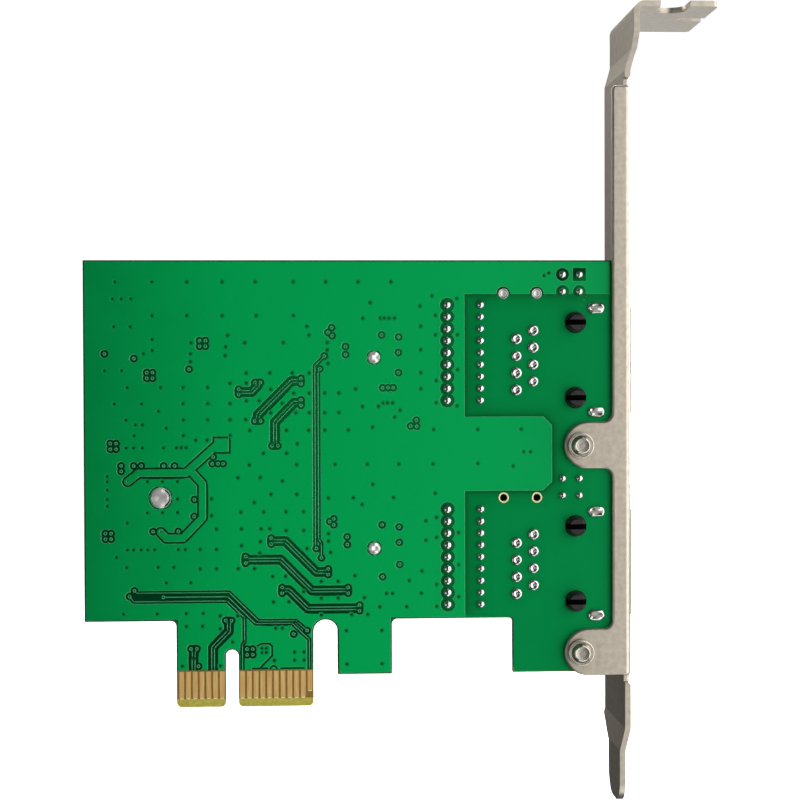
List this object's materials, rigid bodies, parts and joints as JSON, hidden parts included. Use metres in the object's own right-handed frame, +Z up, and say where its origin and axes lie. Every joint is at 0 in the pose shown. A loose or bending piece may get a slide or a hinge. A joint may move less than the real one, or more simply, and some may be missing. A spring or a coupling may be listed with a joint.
{
  "type": "network interface card",
  "caption": "Green circuit board with a stepped, key-slotted contact edge, plug-in ports and lamps behind a tall folded metal mounting bracket.",
  "frame": {"origin": "middle of the key slot on the contact edge, half way through the board's thickness", "axes": "+Z up from the contact edge to the bracket's top flange, +X along the board to the bracket, +Y from the solder side to the component side"},
  "size_m": [0.0938, 0.0216, 0.1195],
  "materials": {
    "board": "green solder mask over glass-fibre laminate",
    "gold": "hard gold plate",
    "bracket_sheet": "satin nickel plate",
    "screw_steel": "nickel plate",
    "lamp_amber": "diffused amber resin",
    "lamp_green": "diffused green resin",
    "solder": "bright tin solder",
    "black_moulding": "fine matt moulding",
    "tinned_lead": "tin plate",
    "can_metal": "drawn can, satin",
    "ferrite": "ground ferrite",
    "ceramic": "fired ceramic",
    "resistor_film": "glazed film",
    "shell_metal": "bright nickel plate"
  },
  "bodies": {
    "root": {"circuit_board": "board", "solder_side_contacts": "gold", "component_side_contacts": "gold", "bracket": "bracket_sheet", "bracket_screws": "screw_steel", "link_lamps": "lamp_amber", "activity_lamps": "lamp_green", "port_solder_joints": "solder", "lamp_solder_joints": "solder", "transformer_solder_joints": "solder", "prong_solder_joints": "solder", "bridge_chip": "black_moulding", "bridge_chip_leads": "tinned_lead", "upper_controller": "black_moulding", "upper_controller_pads": "tinned_lead", "lower_controller": "black_moulding", "lower_controller_pads": "tinned_lead", "crystal_cans": "can_metal", "crystal_bases": "black_moulding", "power_coils": "ferrite", "power_coil_terminals": "tinned_lead", "can_capacitors": "can_metal", "can_capacitor_bases": "black_moulding", "memory_chips": "black_moulding", "memory_chip_leads": "tinned_lead", "voltage_regulators": "black_moulding", "voltage_regulator_leads": "tinned_lead", "large_ceramic_capacitors": "ceramic", "large_ceramic_capacitors_ends": "tinned_lead", "small_ceramic_capacitors": "ceramic", "small_ceramic_capacitors_ends": "tinned_lead", "resistors": "resistor_film", "resistors_ends": "tinned_lead", "upper_port_shell": "shell_metal", "upper_port_block": "black_moulding", "upper_port_contacts": "gold", "upper_lamp_holder": "black_moulding", "upper_lamp_leads": "tinned_lead", "upper_transformer": "black_moulding", "upper_transformer_pins": "tinned_lead", "lower_port_shell": "shell_metal", "lower_port_block": "black_moulding", "lower_port_contacts": "gold", "lower_lamp_holder": "black_moulding", "lower_lamp_leads": "tinned_lead", "lower_transformer": "black_moulding", "lower_transformer_pins": "tinned_lead"}
  },
  "joints": []
}
